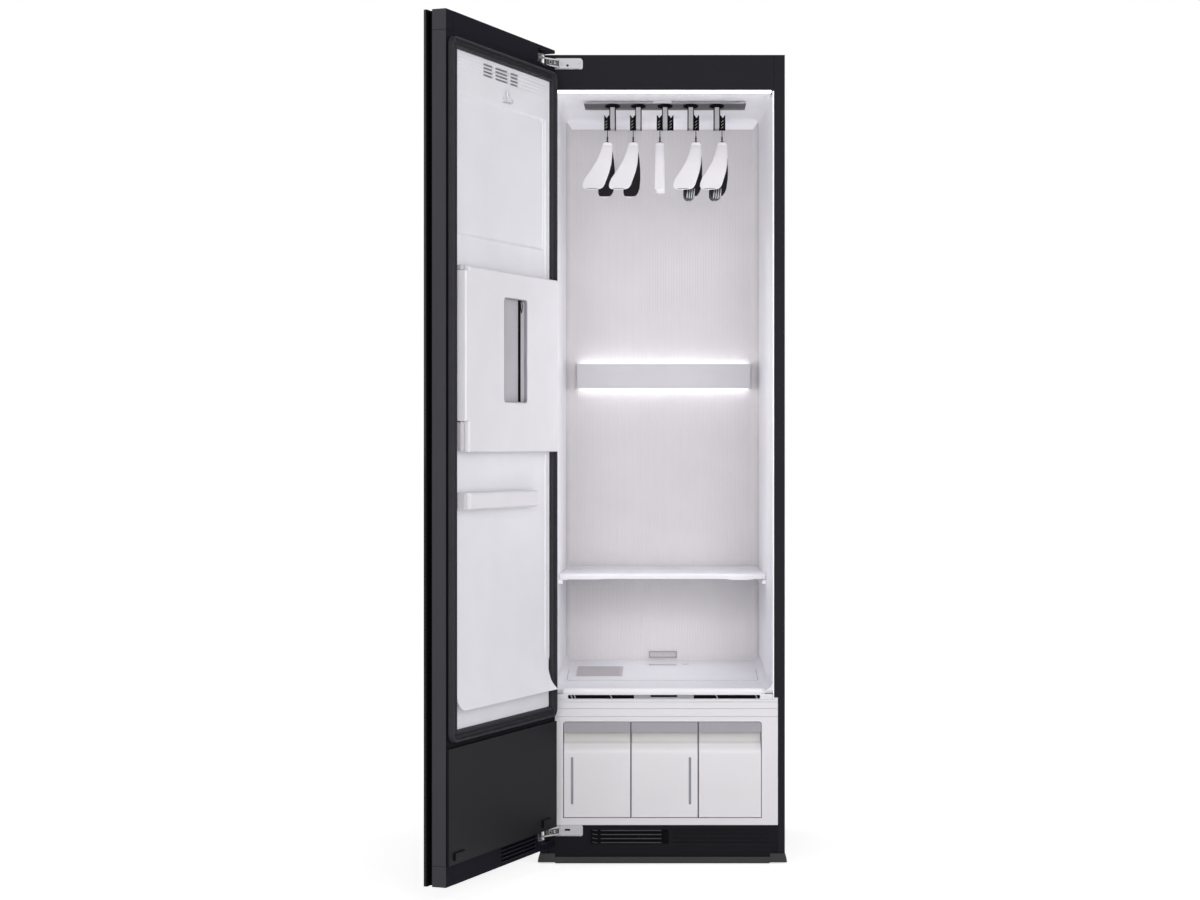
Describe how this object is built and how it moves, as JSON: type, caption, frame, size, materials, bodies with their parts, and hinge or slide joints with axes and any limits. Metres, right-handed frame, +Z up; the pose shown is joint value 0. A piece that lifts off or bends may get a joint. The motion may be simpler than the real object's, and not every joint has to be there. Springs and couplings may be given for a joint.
{
  "type": "clothes care steam cabinet",
  "caption": "Tall steam cabinet that hangs, steams, shakes and dries clothes, with a side-hinged door that carries a trouser press and pull-out water tanks below.",
  "frame": {"origin": "on the floor, under the middle of the cabinet's front plane, on the underside of the plinth bar", "axes": "+X to the right when facing the cabinet, +Y into the cabinet, +Z up"},
  "size_m": [0.8233, 1.1349, 1.964],
  "materials": {
    "case_black": "satin",
    "case_sheet": "satin",
    "door_black": "satin",
    "black_plastic": "matte",
    "plinth_plastic": "matte",
    "white_plastic": "satin",
    "light_diffuser": "matte",
    "bar_cover": "satin",
    "grey_plastic": "satin",
    "tank_plastic": "satin",
    "lid_grey": "satin",
    "rail_grey": "satin",
    "hanger_white": "satin",
    "hinge_steel": "satin",
    "screw_steel": "satin",
    "galvanised": "satin",
    "machine_black": "satin",
    "fin_aluminium": "satin",
    "felt": "matte",
    "door_glass": "gloss",
    "gasket_rubber": "matte",
    "press_white": "satin",
    "pad_grey": "matte",
    "board_green": "satin",
    "screen_mesh": "matte"
  },
  "bodies": {
    "cabinet": {"side_panel_left": "case_black", "side_panel_right": "case_black", "top_panel": "case_black", "back_panel": "case_sheet", "cord_gland": "black_plastic", "front_header": "case_black", "base_pan": "galvanised", "levelling_feet": "black_plastic", "plinth": "plinth_plastic", "kick_panel": "black_plastic", "kick_vent_cover": "black_plastic", "chamber_side_walls": "white_plastic", "chamber_insulation": "felt", "chamber_back_wall": "white_plastic", "chamber_ceiling": "white_plastic", "chamber_floor": "white_plastic", "outlet_fittings": "grey_plastic", "back_light_cover": "bar_cover", "light_strips": "light_diffuser", "tank_bay_frame": "white_plastic", "compressor": "machine_black", "heat_exchangers": "fin_aluminium", "air_ducts": "grey_plastic", "blower_motor": "galvanised", "steam_generator_and_pumps": "fin_aluminium", "control_board": "board_green", "rail_drive_motor": "machine_black", "hinge_arms": "hinge_steel", "hinge_screws": "screw_steel"},
    "door": {"hinge_cups": "hinge_steel", "door_glass": "door_glass", "door_spacer": "black_plastic", "door_frame": "door_black", "door_caps_and_bumpers": "black_plastic", "door_insulation": "felt", "door_lower_panel": "black_plastic", "door_liner": "white_plastic", "door_gasket": "gasket_rubber", "press_base": "grey_plastic", "door_brackets": "grey_plastic"},
    "press": {"press_panel": "press_white", "press_pad": "pad_grey"},
    "trouser_bar": {"tension_bar": "press_white"},
    "trouser_hook": {"fold_hook": "press_white"},
    "shelf_board": {"shelf": "white_plastic"},
    "supply_tank": {"water_tank": "tank_plastic", "water_tank_lid": "lid_grey"},
    "waste_tank": {"drain_tank": "tank_plastic", "drain_tank_lid": "lid_grey"},
    "lint_filter": {"lint_filter_box": "tank_plastic", "lint_screen": "screen_mesh"},
    "rail": {"hanger_rail": "rail_grey", "hanger_holders": "rail_grey"},
    "crank": {"rail_crank": "galvanised"},
    "blower_rotor": {"blower_wheel": "black_plastic"},
    "hanging_1": {"hanger_1": "hanger_white"},
    "hanging_2": {"hanger_2": "hanger_white"},
    "hanging_3": {"hanger_3": "hanger_white"},
    "hanging_4": {"hanger_4": "hanger_white"},
    "hanging_5": {"hanger_5": "hanger_white"}
  },
  "joints": [
    {"name": "door_swing", "type": "hinge", "parent": "cabinet", "child": "door", "pos_m": [-0.2883, -0.0381, 1.006], "axis": [0, 0, 1], "range_deg": [0, 110.9]},
    {"name": "press_swing", "type": "hinge", "parent": "door", "child": "press", "pos_m": [-0.44087, -0.55284, 1.2], "axis": [0, 0, 1], "range_deg": [-78, 0]},
    {"name": "trouser_bar_tilt", "type": "hinge", "parent": "door", "child": "trouser_bar", "pos_m": [-0.35649, -0.32067, 0.875], "axis": [-0.3567, -0.9342, 0], "range_deg": [-60, 0]},
    {"name": "trouser_hook_fold", "type": "hinge", "parent": "door", "child": "trouser_hook", "pos_m": [-0.35357, -0.30573, 1.8045], "axis": [-0.3567, -0.9342, 0], "range_deg": [-85, 0]},
    {"name": "shelf_slide", "type": "slide", "parent": "cabinet", "child": "shelf_board", "axis": [0, 1, 0], "range_m": [-0.2, 0]},
    {"name": "supply_tank_slide", "type": "slide", "parent": "cabinet", "child": "supply_tank", "axis": [0, 1, 0], "range_m": [-0.18, 0]},
    {"name": "waste_tank_slide", "type": "slide", "parent": "cabinet", "child": "waste_tank", "axis": [0, 1, 0], "range_m": [-0.18, 0]},
    {"name": "lint_filter_slide", "type": "slide", "parent": "cabinet", "child": "lint_filter", "axis": [0, 1, 0], "range_m": [-0.18, 0]},
    {"name": "rail_shake", "type": "slide", "parent": "cabinet", "child": "rail", "axis": [1, 0, 0], "range_m": [-0.015, 0.015]},
    {"name": "crank_spin", "type": "hinge", "parent": "cabinet", "child": "crank", "pos_m": [0.13, 0.18, 1.899], "axis": [0, 0, 1], "continuous": true},
    {"name": "blower_spin", "type": "hinge", "parent": "cabinet", "child": "blower_rotor", "pos_m": [0.205, 0.4, 0.31], "axis": [0, 0, 1], "continuous": true},
    {"name": "hanger_1_swing", "type": "hinge", "parent": "rail", "child": "hanging_1", "pos_m": [-0.1375, 0.18, 1.815], "axis": [1, 0, 0], "range_deg": [-12, 12]},
    {"name": "hanger_2_swing", "type": "hinge", "parent": "rail", "child": "hanging_2", "pos_m": [-0.073, 0.18, 1.815], "axis": [1, 0, 0], "range_deg": [-12, 12]},
    {"name": "hanger_3_swing", "type": "hinge", "parent": "rail", "child": "hanging_3", "pos_m": [-0.0062, 0.18, 1.815], "axis": [1, 0, 0], "range_deg": [-12, 12]},
    {"name": "hanger_4_swing", "type": "hinge", "parent": "rail", "child": "hanging_4", "pos_m": [0.0838, 0.18, 1.815], "axis": [1, 0, 0], "range_deg": [-12, 12]},
    {"name": "hanger_5_swing", "type": "hinge", "parent": "rail", "child": "hanging_5", "pos_m": [0.149, 0.18, 1.815], "axis": [1, 0, 0], "range_deg": [-12, 12]}
  ]
}
